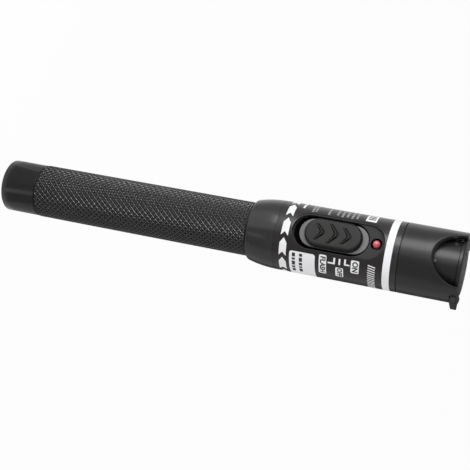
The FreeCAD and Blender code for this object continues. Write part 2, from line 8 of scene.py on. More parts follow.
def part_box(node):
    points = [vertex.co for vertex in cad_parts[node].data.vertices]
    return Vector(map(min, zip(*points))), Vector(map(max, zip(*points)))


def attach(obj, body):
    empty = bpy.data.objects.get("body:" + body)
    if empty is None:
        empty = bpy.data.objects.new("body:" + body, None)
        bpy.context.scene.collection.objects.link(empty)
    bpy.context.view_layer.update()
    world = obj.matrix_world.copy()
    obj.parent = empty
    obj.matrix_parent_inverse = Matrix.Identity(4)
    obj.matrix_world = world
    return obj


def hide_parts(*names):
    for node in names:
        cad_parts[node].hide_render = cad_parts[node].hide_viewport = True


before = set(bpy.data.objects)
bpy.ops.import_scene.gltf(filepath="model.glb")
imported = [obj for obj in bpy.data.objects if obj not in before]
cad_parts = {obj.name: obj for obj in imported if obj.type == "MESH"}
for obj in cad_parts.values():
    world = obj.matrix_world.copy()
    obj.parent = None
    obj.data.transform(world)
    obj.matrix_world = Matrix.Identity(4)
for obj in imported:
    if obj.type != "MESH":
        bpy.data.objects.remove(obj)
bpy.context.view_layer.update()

# Lengths are millimetres until a finished mesh is scaled to metres. Angles round the pen, in
# degrees, start at the slide switch (-Y) and grow towards the thumb tab (+X).
METRE = 0.001
SPIN_STEPS = 192
SHARP_ANGLE = math.radians(32)
MERGE = 1e-4           # points closer than this are one
PRINT_HEIGHT = 0.03
LETTER_HEIGHT = 0.05


def corners(node):
    """The lowest and highest corner of a CAD node at rest, in millimetres."""
    low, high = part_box(node)
    return Vector(low) / METRE, Vector(high) / METRE


# ---- stations and radii, from the frame
CAP_RADIUS = corners("tail_cap")[1].x
CAP_END = corners("tail_cap")[1].z
TUBE_BACK = corners("battery_tube")[0].z
TUBE_FRONT = corners("battery_tube")[1].z
TUBE_RADIUS = corners("battery_tube")[1].x
HEAD_START = corners("head_housing")[0].z
HEAD_END = corners("head_housing")[1].z
HEAD_RADIUS = corners("head_housing")[1].x
LABEL_START = corners("wrap_label")[0].z
LABEL_END = corners("wrap_label")[1].z
PLATE_LOW, PLATE_HIGH = corners("slider_plate")
KNOB_LOW, KNOB_HIGH = corners("slider_knob")
LED_LOW, LED_HIGH = corners("indicator_led")
NOSE_START = corners("nose_holder")[0].z
SHROUD_START = corners("front_shroud")[0].z
FRONT = corners("front_shroud")[1].z
LID_LOW, LID_HIGH = corners("lid")
PIN_LOW, PIN_HIGH = corners("hinge_pin")
SEAL_HIGH = corners("lid_seal")[1]
BUSH_HIGH = corners("port_bush")[1]

GRIP_START = CAP_END + 0.2
SWITCH_Z = (KNOB_LOW.z + KNOB_HIGH.z) / 2
INDICATOR_Z = (LED_LOW.z + LED_HIGH.z) / 2
PIN_X = (PIN_LOW.x + PIN_HIGH.x) / 2
PIN_Z = (PIN_LOW.z + PIN_HIGH.z) / 2
FILM = 0.12                       # thickness of the label film
FILM_STEP = LABEL_START - 0.1     # where the head steps in to take it


# ---- colour and nodes

def rgba(hex_colour):
    """An sRGB hex colour as linear RGBA."""
    channels = []
    for start in (1, 3, 5):
        value = int(hex_colour[start:start + 2], 16) / 255
        channels.append(value / 12.92 if value <= 0.04045 else ((value + 0.055) / 1.055) ** 2.4)
    return (*channels, 1.0)


def add_node(tree, kind, settings=None, inputs=None, links=None):
    """Adds a node, sets its properties and sockets, and links its sockets to other outputs."""
    node = tree.nodes.new(kind)
    for name, value in (settings or {}).items():
        setattr(node, name, value)
    for name, value in (inputs or {}).items():
        node.inputs[name].default_value = value
    for name, source in (links or {}).items():
        tree.links.new(source, node.inputs[name])
    return node


def new_material(name):
    material = bpy.data.materials.new(name)
    material.use_nodes = True
    material.node_tree.nodes.clear()
    return material, material.node_tree


def radius_of(tree, where):
    """The distance of a point from the pen's axis."""
    flat = add_node(tree, "ShaderNodeVectorMath", {"operation": "MULTIPLY"},
                    {1: (1, 1, 0)}, {0: where})
    return add_node(tree, "ShaderNodeVectorMath", {"operation": "LENGTH"},
                    links={0: flat.outputs[0]}).outputs["Value"]


def height_of(tree, where):
    """How far a point stands out on the switch's side."""
    y = add_node(tree, "ShaderNodeSeparateXYZ", links={0: where}).outputs["Y"]
    return add_node(tree, "ShaderNodeMath", {"operation": "MULTIPLY"}, {1: -1.0},
                    {0: y}).outputs[0]


GRAIN_RELIEF = 0.02     # depth of every surface's fine grain


def surface(name, dark, light, rough, grain_mm, bump, blotch_mm=9.0, turned=False,
            crest=None, **shader_inputs):
    """A real surface: two close colours in soft clouds, and a fine grain in gloss and relief.

    turned makes the grain run round the pen, as a lathe leaves it. crest is (measure, low, high,
    colour, roughness, metallic): what stands out to high, by its "radius" or its "height" at the
    switch, takes that finish and what lies at low keeps its own: worn bare metal on the knurl's
    crests, and painted light and shade on the knob, lighter on its top than in its grooves.
    """
    material, tree = new_material(name)
    where = add_node(tree, "ShaderNodeTexCoord").outputs["Object"]
    grain_place = where
    if turned:
        along = add_node(tree, "ShaderNodeSeparateXYZ", links={0: where}).outputs["Z"]
        grain_place = add_node(tree, "ShaderNodeCombineXYZ",
                               links={"X": radius_of(tree, where), "Z": along}).outputs[0]
    clouds = add_node(tree, "ShaderNodeTexNoise",
                      inputs={"Scale": 1 / (blotch_mm * METRE), "Detail": 3.0},
                      links={"Vector": where})
    colour = add_node(tree, "ShaderNodeMix", {"data_type": "RGBA"}, {6: rgba(dark), 7: rgba(light)},
                      {0: clouds.outputs[0]}).outputs[2]
    # The crest mix: worn bare metal on the knurl, painted light and shade on the knob.
    if crest:
        measure, low, high, wear_and_light_colour, crest_roughness, worn_metal = crest
        stand = height_of(tree, where) if measure == "height" else radius_of(tree, where)
        share = add_node(tree, "ShaderNodeMapRange",
                         inputs={"From Min": low * METRE, "From Max": high * METRE},
                         links={"Value": stand}).outputs[0]
        colour = add_node(tree, "ShaderNodeMix", {"data_type": "RGBA"}, {7: rgba(wear_and_light_colour)},
                          {0: share, 6: colour}).outputs[2]
    grain = add_node(tree, "ShaderNodeTexNoise",
                     inputs={"Scale": 1 / (grain_mm * METRE), "Detail": 2.0},
                     links={"Vector": grain_place})
    roughness = add_node(tree, "ShaderNodeMapRange",
                         inputs={"To Min": rough[0], "To Max": rough[1]},
                         links={"Value": grain.outputs[0]}).outputs[0]
    if crest:
        roughness = add_node(tree, "ShaderNodeMix", {"data_type": "FLOAT"}, {3: crest_roughness},
                             {0: share, 2: roughness}).outputs[0]
    relief = add_node(tree, "ShaderNodeBump",
                      inputs={"Strength": bump, "Distance": GRAIN_RELIEF * METRE},
                      links={"Height": grain.outputs[0]})
    shader = add_node(tree, "ShaderNodeBsdfPrincipled", inputs=shader_inputs,
                      links={"Base Color": colour, "Roughness": roughness,
                             "Normal": relief.outputs[0]})
    if crest and worn_metal:
        bare = add_node(tree, "ShaderNodeMath", {"operation": "MULTIPLY"}, {1: worn_metal},
                        {0: share})
        tree.links.new(bare.outputs[0], shader.inputs["Metallic"])
    add_node(tree, "ShaderNodeOutputMaterial", links={"Surface": shader.outputs[0]})
    return material


# Black anodised aluminium, turned and lightly blasted: near black with a soft grey sheen.
ANODISED = surface("black_anodised_aluminium", "#19191a", "#212122", (0.24, 0.32), 0.3, 0.12,
                   turned=True)
# The same metal in the knurl: dull in the pits, polished by the hand on the crests. Below the
# crests its colour is painted darker than the cap's, as shade in the pits.
KNURLED = surface("knurled_anodised_aluminium", "#131314", "#19191a", (0.45, 0.55), 0.3, 0.15,
                  crest=("radius", 9.425, 9.47, "#8a8a8c", 0.24, 1.0),
                  **{"Specular IOR Level": 0.4})
# Moulded black ABS with a fine satin texture from the mould.
ABS_SATIN = surface("satin_black_abs", "#1c1c1c", "#242424", (0.28, 0.34), 0.25, 0.2)
# Black ABS from a polished mould, as on the head's shoulder and collar.
ABS_GLOSS = surface("gloss_black_abs", "#262626", "#2d2d2d", (0.2, 0.26), 0.6, 0.05)
# Black ABS from a spark-eroded mould, dull, on the floor of the switch pocket.
ABS_DULL = surface("textured_black_abs", "#1b1b1b", "#232323", (0.6, 0.7), 0.2, 0.4)
# A near-black, dull sheet on the floor of the switch's well: painted shade for the deep shadow
# there, giving back almost no light.
WELL_PAINTED_SHADE = surface("painted_shade_well_floor", "#040404", "#080808", (0.9, 1.0), 0.15, 0.5,
                    **{"Specular IOR Level": 0.05})
# Black vinyl label film: a warm black with a soft sheen.
LABEL_FILM = surface("black_vinyl_label", "#231f20", "#2b2728", (0.24, 0.32), 0.3, 0.12)
# White screen print: an opaque ink, a little uneven.
WHITE_INK = surface("white_screen_print", "#dcdcde", "#e8e8ea", (0.55, 0.65), 0.4, 0.1,
                    **{"Specular IOR Level": 0.35})
# The same ink let down to grey for the finest lines.
GREY_INK = surface("grey_screen_print", "#8d8d8f", "#a5a5a7", (0.45, 0.55), 0.4, 0.1)
# Black ink on the white fields.
DARK_INK = surface("dark_screen_print", "#232324", "#303031", (0.5, 0.6), 0.4, 0.1)
# Soft-touch rubber of the slide knob: dull and grained, with painted shade: darker in the grooves
# and down the rounded sides, lighter on the raised top.
SOFT_RUBBER = surface("soft_touch_rubber", "#0f0f0f", "#161616", (0.5, 0.6), 0.22, 0.4,
                      crest=("height", 11.7, 12.0, "#262625", 0.55, 0.0),
                      **{"Specular IOR Level": 0.3})
# Light grey ABS of the plate that the knob slides over.
PLATE_PLASTIC = surface("light_grey_abs", "#646464", "#6f6f6f", (0.5, 0.6), 0.25, 0.15)
# Nitrile rubber of the O-ring and the lid's seal.
NITRILE = surface("nitrile_rubber", "#0e0e0e", "#151515", (0.55, 0.65), 0.3, 0.2)
# Tinted diffusing epoxy of the indicator: milky pink-red while it is unlit.
LED_EPOXY = surface("red_diffused_epoxy", "#b02c44", "#e37d8c", (0.25, 0.35), 0.5, 0.05,
                    blotch_mm=1.0, **{"Coat Weight": 1.0, "Coat Roughness": 0.12})
# Steel left dull by its heat treatment, as on the dowel.
DULL_STEEL = surface("dull_steel", "#6f6f71", "#858587", (0.35, 0.45), 0.2, 0.1, Metallic=1.0)
# Bright drawn steel of the spring, screws, pin and clips.
STEEL = surface("bright_steel", "#b9b9bb", "#cfcfd1", (0.2, 0.32), 0.2, 0.1, Metallic=1.0)
# Turned brass of the laser barrel, the lens ring and the cell contact.
BRASS = surface("turned_brass", "#b08d4a", "#c6a25a", (0.25, 0.36), 0.12, 0.2, turned=True,
                Metallic=1.0)
# Nickel plate over brass: a warm, bright grey.
NICKEL = surface("nickel_plated_brass", "#b3b0aa", "#c9c6bf", (0.16, 0.26), 0.2, 0.08,
                 Metallic=1.0)
# Polished white zirconia of the alignment sleeve.
ZIRCONIA = surface("white_zirconia", "#e6e5df", "#f2f1ec", (0.1, 0.18), 0.3, 0.04, IOR=2.15)
# Clear coated lens glass.
LENS_GLASS = surface("coated_lens_glass", "#f2f6fa", "#ffffff", (0.02, 0.04), 0.5, 0.0,
                     IOR=1.52, **{"Transmission Weight": 1.0})
# Green solder mask over a woven glass board.
SOLDER_MASK = surface("green_solder_mask", "#0d4a22", "#12592a", (0.25, 0.35), 0.4, 0.1)
# Black moulded epoxy of chips, coils and the switch's lever.
CHIP_EPOXY = surface("black_moulding_epoxy", "#171717", "#202020", (0.5, 0.6), 0.15, 0.2)
# Shrunk grey sleeve of the cells.
CELL_SLEEVE = surface("grey_cell_sleeve", "#4c5055", "#5a5e63", (0.2, 0.3), 0.6, 0.05)
# Natural nylon of the module's cradle.
NYLON = surface("natural_nylon", "#dcdacf", "#e8e6dc", (0.4, 0.5), 0.3, 0.1)

KEPT_NODES = {
    "tail_contact": NICKEL, "tail_spring": STEEL, "tube_oring": NITRILE,
    "cell_rear": CELL_SLEEVE, "cell_front": CELL_SLEEVE, "switch_lever": CHIP_EPOXY,
    "slide_switch": NICKEL, "contact_board": SOLDER_MASK, "contact_stud": BRASS,
    "module_cradle": NYLON, "circuit_board": SOLDER_MASK, "board_screws": STEEL,
    "driver_chip": CHIP_EPOXY, "inductor": CHIP_EPOXY, "capacitors": CHIP_EPOXY,
    "laser_barrel": BRASS, "laser_diode": NICKEL, "focus_lens": LENS_GLASS, "lens_ring": BRASS,
    "port_bush": NICKEL, "ceramic_sleeve": ZIRCONIA, "hinge_pin": STEEL, "lid_seal": NITRILE,
    "nose_dowel": DULL_STEEL, "catch_clips": STEEL,
}
for node_name, finish in KEPT_NODES.items():
    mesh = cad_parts[node_name].data
    mesh.materials.clear()
    mesh.materials.append(finish)


# ---- mesh helpers

def new_piece(name, bm, material, body, nodes, sharp=SHARP_ANGLE):
    """Makes a smooth-shaded object with crisp edges of a bmesh in millimetres."""
    bmesh.ops.remove_doubles(bm, verts=bm.verts, dist=MERGE)
    bmesh.ops.recalc_face_normals(bm, faces=bm.faces)
    for face in bm.faces:
        face.smooth = True
    for edge in bm.edges:
        edge.smooth = len(edge.link_faces) == 2 and edge.calc_face_angle(0) < sharp
    bmesh.ops.scale(bm, vec=(METRE, METRE, METRE), verts=bm.verts)
    mesh = bpy.data.meshes.new(name)
    bm.to_mesh(mesh)
    bm.free()
    mesh.materials.append(material)
    piece = bpy.data.objects.new(name, mesh)
    bpy.context.scene.collection.objects.link(piece)
    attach(piece, body)
    if nodes:
        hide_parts(*nodes)
    return piece


def rounded_profile(points, segments=5):
    """Corners (radius, height[, rounding]) of a closed outline, each rounding made an arc."""
    spots = [Vector(point[:2]) for point in points]
    out = []
    for index, point in enumerate(points):
        here = spots[index]
        if len(point) < 3:
            out.append(here)
            continue
        size = point[2]
        back = (spots[index - 1] - here).normalized()
        on = (spots[(index + 1) % len(spots)] - here).normalized()
        half = back.angle(on) / 2
        centre = here + (back + on).normalized() * size / math.sin(half)
        first = here + back * size / math.tan(half) - centre
        last = here + on * size / math.tan(half) - centre
        for step in range(segments + 1):
            out.append(centre + first.slerp(last, step / segments).normalized() * size)
    return out


def tidied(bm):
    """Merges doubled points and turns every face outwards."""
    bmesh.ops.remove_doubles(bm, verts=bm.verts, dist=MERGE)
    bmesh.ops.dissolve_degenerate(bm, edges=bm.edges, dist=MERGE / 10)
    bmesh.ops.recalc_face_normals(bm, faces=bm.faces)
    return bm


def spun(bm, points, closed=False, axis=(0, 0, 1), centre=(0, 0, 0), steps=SPIN_STEPS):
    """Turns a line of points, open or closed, once round an axis."""
    line = [bm.verts.new(point) for point in points]
    ends = line[:1] if closed else []
    edges = [bm.edges.new(pair) for pair in zip(line, line[1:] + ends)]
    bmesh.ops.spin(bm, geom=line + edges, axis=axis, cent=centre, angle=2 * math.pi, steps=steps,
                   use_merge=True, use_duplicate=False)
    return bm


def on_side(points):
    """(radius, height) points as a line beside the pen's axis."""
    return [(radius, 0, height) for radius, height in points]


def turned_shape(points):
    """A shape turned about the pen's axis from a closed outline of (radius, height[, rounding])."""
    return tidied(spun(bmesh.new(), on_side(rounded_profile(points)), closed=True))


def turned_solid(points, segments=5):
    """The same from an open outline that starts and ends on the axis."""
    return tidied(spun(bmesh.new(), on_side(rounded_profile(points, segments))))


def extruded(bm, faces, shift):
    """Draws faces out by a shift."""
    grown = bmesh.ops.extrude_face_region(bm, geom=faces)
    verts = [part for part in grown["geom"] if isinstance(part, bmesh.types.BMVert)]
    bmesh.ops.translate(bm, vec=shift, verts=verts)


def prism(outline, y0, y1):
    """A slab between two heights along Y, from its (x, z) outline."""
    bm = bmesh.new()
    face = bm.faces.new([bm.verts.new((x, y0, z)) for x, z in outline])
    extruded(bm, [face], (0, y1 - y0, 0))
    return tidied(bm)


def slab(x0, x1, y0, y1, z0, z1):
    return prism([(x0, z0), (x1, z0), (x1, z1), (x0, z1)], y0, y1)


def arc(x, y, radius, start, end, steps):
    """Points on an arc between two angles in radians, both ends included."""
    turns = [start + (end - start) * step / steps for step in range(steps + 1)]
    return [(x + radius * math.cos(turn), y + radius * math.sin(turn)) for turn in turns]


def stadium(z0, z1, width, steps=24):
    """The (x, z) outline of a round-ended slot, long along the pen."""
    half = width / 2
    return (arc(0, z1 - half, half, 0, math.pi, steps)
            + arc(0, z0 + half, half, math.pi, 2 * math.pi, steps))


def circle(x, z, radius, steps=48):
    return arc(x, z, radius, 0, 2 * math.pi, steps)[:-1]


def scratch_object(bm):
    mesh = bpy.data.meshes.new("scratch")
    bm.to_mesh(mesh)
    bm.free()
    thing = bpy.data.objects.new("scratch", mesh)
    bpy.context.scene.collection.objects.link(thing)
    return thing


def combined(bm, others, operation="DIFFERENCE"):
    """Cuts other shapes from a shape, or joins them to it."""
    body = scratch_object(bm)
    tools = [scratch_object(other) for other in others]
    for tool in tools:
        step = body.modifiers.new("combine", "BOOLEAN")
        step.object = tool
        step.operation = operation
        step.solver = "EXACT"
    graph = bpy.context.evaluated_depsgraph_get()
    made = bpy.data.meshes.new_from_object(body.evaluated_get(graph))
    result = bmesh.new()
    result.from_mesh(made)
    for thing in (body, *tools):
        bpy.data.objects.remove(thing)
    bpy.data.meshes.remove(made)
    return tidied(result)


def softened(bm, width, chosen, segments=3):
    """Rounds those of the sharp edges that a test picks."""
    edges = [edge for edge in bm.edges if len(edge.link_faces) == 2
             and edge.calc_face_angle(0) > SHARP_ANGLE and chosen(edge)]
    bmesh.ops.bevel(bm, geom=edges, offset=width, offset_type="OFFSET", affect="EDGES",
                    segments=segments, profile=0.5, material=-1, clamp_overlap=True)


def above(height):
    """A test for edges that lie wholly above a height on the switch's side."""
    return lambda edge: all(vert.co.y < -height for vert in edge.verts)


def cut_across(bm, place, normal, dist=MERGE / 10, clear_outer=False):
    """Cuts every face that a plane crosses, and drops what lies beyond it if asked."""
    bmesh.ops.bisect_plane(bm, geom=bm.verts[:] + bm.edges[:] + bm.faces[:], plane_co=place,
                           plane_no=normal, dist=dist, clear_outer=clear_outer)


# Flat work is drawn unrolled: x round the pen from the switch, y along it, z outwards.

def flat_face(bm, outline):
    return bm.faces.new([bm.verts.new((x, y, 0)) for x, y in outline])


def round_the_pen(degrees):
    """An angle as a length round the head."""
    return math.radians(degrees) * HEAD_RADIUS


def sliced(bm, spacing):
    """Adds edges along the pen so that flat work can follow its curve."""
    low = min(vert.co.x for vert in bm.verts)
    high = max(vert.co.x for vert in bm.verts)
    count = int((high - low) / spacing)
    for step in range(1, count + 1):
        place = low + (high - low) * step / (count + 1)
        cut_across(bm, (place, 0, 0), (1, 0, 0))


def wrapped(bm, radius):
    """Rolls flat work on to a cylinder of that radius."""
    for vert in bm.verts:
        around, along, out = vert.co
        turn = around / radius
        vert.co = ((radius + out) * math.sin(turn), -(radius + out) * math.cos(turn), along)
    return bm


# ---- tail cap

def make_tail_cap():
    floor, thread_start, land_start = 2.0, 3.8, GRIP_START - 3.3
    relief, thread, land = 7.75, 8.48, 8.7
    end_round, rim_round = 0.75, 0.15
    bm = turned_solid([
        (0, 0), (CAP_RADIUS, 0, end_round), (CAP_RADIUS, CAP_END, rim_round), (land, CAP_END),
        (land, land_start), (thread, land_start), (thread, thread_start),
        (relief, thread_start), (relief, floor), (0, floor)], segments=8)
    new_piece("tail_cap_shell", bm, ANODISED, "tail_cap", ["tail_cap"])


# ---- knurled grip

KNURL_STARTS = 60
KNURL_STEP = 1.04      # along the pen, from one diamond to the next
KNURL_TWIST = 0.06     # round the pen for each millimetre along it
KNURL_WALL = 0.26      # from a ridge down to a diamond's floor
KNURL_DEPTH = 0.24
KNURL_SAG = 0.1        # every second ridge is cut lower than its neighbours


def knurl_band(z0, z1):
    """The knurl's skin: crossing sharp ridges round sunken diamonds, open at both ends.

    It is drawn unrolled, as a square grid turned by 45 degrees and stretched to the diamonds.
    """
    across = 2 * math.pi * TUBE_RADIUS / KNURL_STARTS
    steps = round((z1 - z0) / KNURL_STEP)
    step = (z1 - z0) / steps
    width = across * KNURL_STARTS
    cells = 2 * max(KNURL_STARTS, steps) + 6
    bm = bmesh.new()
    bmesh.ops.create_grid(bm, x_segments=cells, y_segments=cells, size=cells / 2)
    for vert in bm.verts:
        if round(vert.co.x) % 2 and round(vert.co.y) % 2:
            vert.co.z -= KNURL_SAG
    bmesh.ops.rotate(bm, cent=(0, 0, 0), matrix=Matrix.Rotation(math.pi / 4, 3, "Z"),
                     verts=bm.verts)
    root = math.sqrt(2)
    bmesh.ops.scale(bm, vec=(across / root, step / root, 1), verts=bm.verts)
    middle = (z0 + z1) / 2
    bmesh.ops.translate(bm, vec=(width / 2 + across / 4, middle + step / 4, 0), verts=bm.verts)
    outside = [face for face in bm.faces
               if not (-across < face.calc_center_median().x < width + across
                       and z0 - step < face.calc_center_median().y < z1 + step)]
    bmesh.ops.delete(bm, geom=outside, context="FACES")
    bmesh.ops.inset_individual(bm, faces=bm.faces[:], thickness=KNURL_WALL, depth=-KNURL_DEPTH,
                               use_even_offset=True)
    for place, side in (((0, 0, 0), (-1, 0, 0)), ((width, 0, 0), (1, 0, 0)),
                        ((0, z0, 0), (0, -1, 0)), ((0, z1, 0), (0, 1, 0))):
        cut_across(bm, place, side, dist=MERGE, clear_outer=True)
    for vert in bm.verts:
        vert.co.x -= KNURL_TWIST * vert.co.y
    wrapped(bm, TUBE_RADIUS)
    bmesh.ops.remove_doubles(bm, verts=bm.verts, dist=MERGE * 10)
    return bm


def make_grip():
    bore, thread, land, groove, joint = 7.45, 8.4, 8.62, 7.95, 8.52
    collar, collar_edge = 9.22, 0.4
    land_start = GRIP_START - 3.1
    ring_front = GRIP_START - 1.1
    ring_back = ring_front - 1.4
    z0, z1 = GRIP_START + collar_edge, HEAD_START - collar_edge
    bm = knurl_band(z0, z1)
    spun(bm, on_side([
        (collar, z1), (collar, HEAD_START), (joint, HEAD_START), (joint, TUBE_FRONT),
        (bore, TUBE_FRONT), (bore, TUBE_BACK), (thread, TUBE_BACK), (thread, land_start),
        (land, land_start), (land, ring_back), (groove, ring_back), (groove, ring_front),
        (land, ring_front), (land, GRIP_START), (collar, GRIP_START), (collar, z0)]))
    bmesh.ops.remove_doubles(bm, verts=bm.verts, dist=MERGE)
    for height in (z0, z1):
        loop = [edge for edge in bm.edges if len(edge.link_faces) == 1
                and all(abs(vert.co.z - height) < MERGE * 10 for vert in edge.verts)]
        bmesh.ops.bridge_loops(bm, edges=loop)
    new_piece("knurled_grip", bm, KNURLED, "housing", ["battery_tube"],
              sharp=math.radians(60))


# ---- head shell, label film and print

POCKET_WIDTH = 11.9
POCKET_FLOOR = 9.8
WELL_WIDTH = 11.6
WELL_FLOOR = 8.75
PLATE_WIDTH = 9.9
PLATE_BACK = 9.0
POCKET_START = FILM_STEP + 5.8
POCKET_END = INDICATOR_Z + 3.0
WELL_START = POCKET_START + 0.3
WELL_END = PLATE_HIGH.z + 0.3
LEVER_SLOT_WIDTH = 3.2
LEVER_SLOT_LENGTH = 8.2
INDICATOR_HOLE_RADIUS = 2.0
LENS_RADIUS = 1.3
OUTSIDE = -(HEAD_RADIUS + 1)      # where cuts from the switch's side start


def lever_slot(start):
    """The slot that the knob's lever slides in, from that height to the axis."""
    half_width, half_length = LEVER_SLOT_WIDTH / 2, LEVER_SLOT_LENGTH / 2
    return slab(-half_width, half_width, start, 0, SWITCH_Z - half_length, SWITCH_Z + half_length)


def shoulder_outline():
    """The head's back end: a small round on to the grip, then a long one up to the film."""
    edge, rise = 1.25, HEAD_RADIUS - TUBE_RADIUS
    length = FILM_STEP - HEAD_START
    long_radius = (length ** 2 + rise ** 2 - 2 * length * edge) / (2 * (rise - edge))
    long_centre = HEAD_RADIUS - long_radius
    meeting = math.atan2(length - edge, TUBE_RADIUS - long_centre)
    return (arc(TUBE_RADIUS, HEAD_START + edge, edge, -math.pi / 2, -meeting, 8)
            + arc(long_centre, FILM_STEP, long_radius, -meeting, 0, 14)[1:])


def make_head_shell():
    bore, seat = 8.6, 7.45
    tube_stop = TUBE_FRONT + 0.6
    board_seat = HEAD_START + 12.0
    outline = shoulder_outline() + [
        (HEAD_RADIUS - FILM, FILM_STEP), (HEAD_RADIUS - FILM, LABEL_END),
        (HEAD_RADIUS, LABEL_END, 0.06), (HEAD_RADIUS, HEAD_END, 0.25), (bore, HEAD_END),
        (bore, board_seat), (seat, board_seat), (seat, tube_stop), (bore, tube_stop),
        (bore, HEAD_START)]
    pocket = prism(stadium(POCKET_START, POCKET_END, POCKET_WIDTH), OUTSIDE, -POCKET_FLOOR)
    well = prism(stadium(WELL_START, WELL_END, WELL_WIDTH), OUTSIDE, -WELL_FLOOR)
    light_hole = prism(circle(0, INDICATOR_Z, INDICATOR_HOLE_RADIUS), OUTSIDE, 0)
    bm = combined(turned_shape(outline), [pocket, well, lever_slot(OUTSIDE), light_hole])
    piece = new_piece("head_shell", bm, ABS_GLOSS, "housing", ["head_housing"])
    # Index 1 is the pocket floor's dull plastic; index 2, the well's floor, is painted shade.
    floors = {1: POCKET_FLOOR, 2: WELL_FLOOR}
    piece.data.materials.append(ABS_DULL)
    piece.data.materials.append(WELL_PAINTED_SHADE)
    for face in piece.data.polygons:
        for index, floor in floors.items():
            if face.normal.y < -0.9 and abs(-face.center.y / METRE - floor) < 0.01:
                face.material_index = index


def make_label_film():
    margin = 0.7     # bare plastic between the pocket and the film's window
    bm = turned_shape([(HEAD_RADIUS - FILM, LABEL_START), (HEAD_RADIUS, LABEL_START, 0.04),
                       (HEAD_RADIUS, LABEL_END), (HEAD_RADIUS - FILM, LABEL_END)])
    window = prism(stadium(POCKET_START - margin, POCKET_END + margin, POCKET_WIDTH + 2 * margin),
                   OUTSIDE, 0)
    new_piece("label_film", combined(bm, [window]), LABEL_FILM, "housing", ["wrap_label"])


# Filled fields: (start and end along the pen, start and end angle, corner rounding)
WHITE_FIELDS = [
    (112.0, 121.0, 38.0, 118.0, 0.9),
    (122.4, 125.0, 35.3, 73.2, 0.5),
    (128.2, 130.9, 53.3, 74.0, 0.5),
    (133.4, 136.2, 35.3, 59.2, 0.5),
    (135.0, 138.7, -64.0, -38.0, 0.2),
]
# Thin strokes: (start and end along the pen, start and end angle)
WHITE_STROKES = [
    (127.4, 128.0, 36.9, 46.5), (125.5, 128.0, 45.6, 48.4),
    (129.2, 129.8, 37.2, 47.9),
    (131.1, 131.7, 36.4, 46.0), (131.1, 133.0, 44.4, 47.0),
    (112.8, 113.5, -88.0, -43.7),
]
# The direction strip
ARROW_COUNT = 10
ARROW_PITCH = 34.3     # degrees; the seam of the wrap takes up what is left
ARROW_FIRST_TIP = -152.8
ARROW_Z = FILM_STEP + 3.65
ARROW_WIDTH = 2.5
ARROW_LENGTH = 6.5
ARROW_POINT = 1.9      # length of its head
ARROW_NOTCH = 1.4      # depth of the cut in its tail
BAND_WIDTH = 2.4
# Slanted bars that stand for the large caption by the band
CAPTION_BARS = 15
CAPTION_START = 38.0      # degrees
CAPTION_PITCH = 4.4       # degrees
CAPTION_BAR = 0.36        # width of a bar
CAPTION_SLANT = 0.5
CAPTION_Z0 = 139.1
CAPTION_Z1 = 141.6
# Words of the switch's three settings: (word, angle, station, letter height)
WORDS = [("FLASH", 54.2, 123.7, 2.45), ("OFF", 63.6, 129.55, 2.3), ("ON", 47.2, 134.8, 2.6)]
LETTER_WEIGHT = 0.035     # each stroke's added weight, as a share of the letter's height
# Rows of dark bars that stand for text on the large field: (station, the bars' angles)
DARK_ROWS = [(113.0, (7, 4, 9, 5, 8)), (115.5, (5, 8, 6, 4, 9))]
DARK_ROW_START = 41.0
DARK_BAR_HEIGHT = 1.1
DARK_BAR_GAP = 2.2
# Three dark bars on the small field: (start and end along the pen, start and end angle)
DARK_BOXES = [(135.6, 138.1, start - 3.2, start) for start in (-43.5, -49.5, -55.5)]
# Rows of grey blocks that stand for fine text: the stations and every row's angles
GREY_ROWS = (116.3, 117.4, 121.9, 124.9, 126.6, 128.3, 130.0, 131.6)
GREY_BLOCKS = (2.6, 4.0, 2.0, 5.0, 3.0, 4.4)
GREY_ROW_START = -37.5
GREY_ROW_INDENT = 2.0     # every second row starts further round
GREY_BLOCK_HEIGHT = 0.75
GREY_BLOCK_GAP = 1.6


def box_outline(z0, z1, angle0, angle1):
    x0, x1 = round_the_pen(angle0), round_the_pen(angle1)
    return [(x0, z0), (x1, z0), (x1, z1), (x0, z1)]


def arrow_outline(tip_angle):
    """One arrow of the direction strip, pointing away from the tab."""
    half, tip = ARROW_WIDTH / 2, round_the_pen(tip_angle)
    tail = tip + ARROW_LENGTH
    return [(tip, ARROW_Z), (tip + ARROW_POINT, ARROW_Z - half), (tail, ARROW_Z - half),
            (tail - ARROW_NOTCH, ARROW_Z), (tail, ARROW_Z + half),
            (tip + ARROW_POINT, ARROW_Z + half)]


def print_piece(name, bm, height, material, nodes):
    """Raises flat work by an ink's height and rolls it on to the head."""
    extruded(bm, bm.faces[:], (0, 0, height))
    sliced(bm, 0.6)
    wrapped(bm, HEAD_RADIUS)
    new_piece(name, bm, material, "housing", nodes)


def make_white_print():
    bm = bmesh.new()
    for z0, z1, angle0, angle1, rounding in WHITE_FIELDS:
        face = flat_face(bm, box_outline(z0, z1, angle0, angle1))
        bmesh.ops.bevel(bm, geom=face.verts[:], offset=rounding, offset_type="OFFSET",
                        affect="VERTICES", segments=5, profile=0.5, material=-1)
    for stroke in WHITE_STROKES:
        flat_face(bm, box_outline(*stroke))
    for index in range(ARROW_COUNT):
        flat_face(bm, arrow_outline(ARROW_FIRST_TIP + ARROW_PITCH * index))
    for index in range(CAPTION_BARS):
        x0 = round_the_pen(CAPTION_START + CAPTION_PITCH * index)
        x1 = x0 + CAPTION_BAR
        flat_face(bm, [(x0, CAPTION_Z0), (x1, CAPTION_Z0), (x1 + CAPTION_SLANT, CAPTION_Z1),
                       (x0 + CAPTION_SLANT, CAPTION_Z1)])
    print_piece("white_print", bm, PRINT_HEIGHT, WHITE_INK, ["label_print"])
    top = HEAD_RADIUS + PRINT_HEIGHT
    band = turned_shape([(HEAD_RADIUS, LABEL_END - BAND_WIDTH), (top, LABEL_END - BAND_WIDTH),
                         (top, LABEL_END), (HEAD_RADIUS, LABEL_END)])
    new_piece("white_band", band, WHITE_INK, "housing", ["label_print"])


